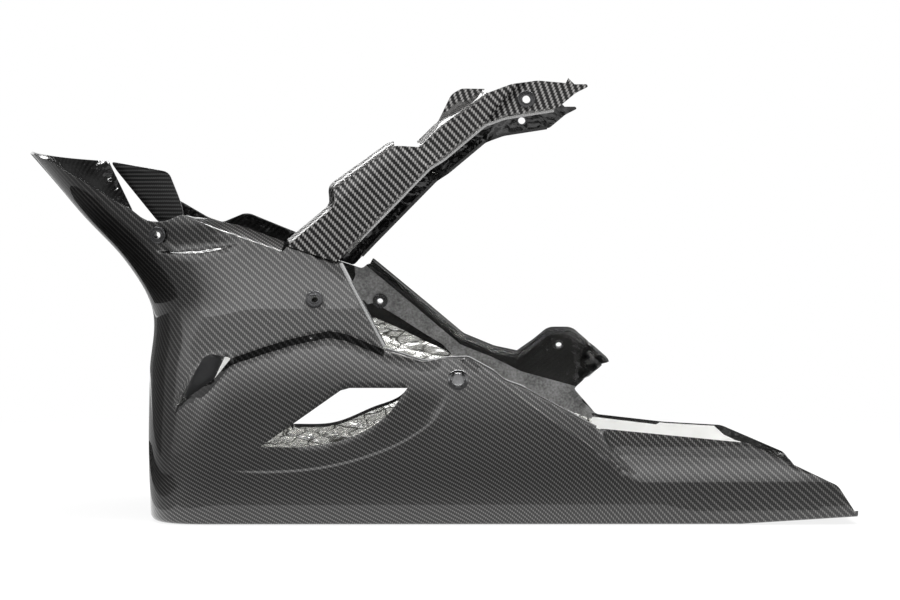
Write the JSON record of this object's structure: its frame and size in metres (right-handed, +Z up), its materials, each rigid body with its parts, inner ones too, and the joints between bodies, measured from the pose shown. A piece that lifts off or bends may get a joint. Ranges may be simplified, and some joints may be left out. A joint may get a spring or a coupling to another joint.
{
  "type": "motorcycle belly pan",
  "caption": "Glossy woven-carbon belly pan of a motorcycle: a beaked tub open at the top and rear, with vents in its side walls and rising mounting arms.",
  "frame": {"origin": "middle of the footprint box, on the flat underside of the floor", "axes": "+X backwards along the bike, +Y to the bike's right side, +Z up"},
  "size_m": [0.6873, 0.3012, 0.36],
  "materials": {
    "carbon_shell": "twill carbon under clear gloss",
    "carbon_arm": "twill carbon under clear gloss",
    "carbon_fin": "twill carbon under clear gloss",
    "bush_black": "satin black moulding",
    "bolt_black": "black coated steel",
    "nut_zinc": "plated steel"
  },
  "bodies": {
    "root": {"belly_shell": "carbon_shell", "left_arm": "carbon_arm", "left_arm_bush": "bush_black", "left_front_fin": "carbon_fin", "left_middle_bush": "bush_black", "left_side_bolt": "bolt_black", "left_side_nut": "nut_zinc", "left_upper_bush": "bush_black", "right_arm": "carbon_arm", "right_arm_bush": "bush_black", "right_ear_bush": "bush_black", "right_middle_bush": "bush_black"}
  },
  "joints": []
}
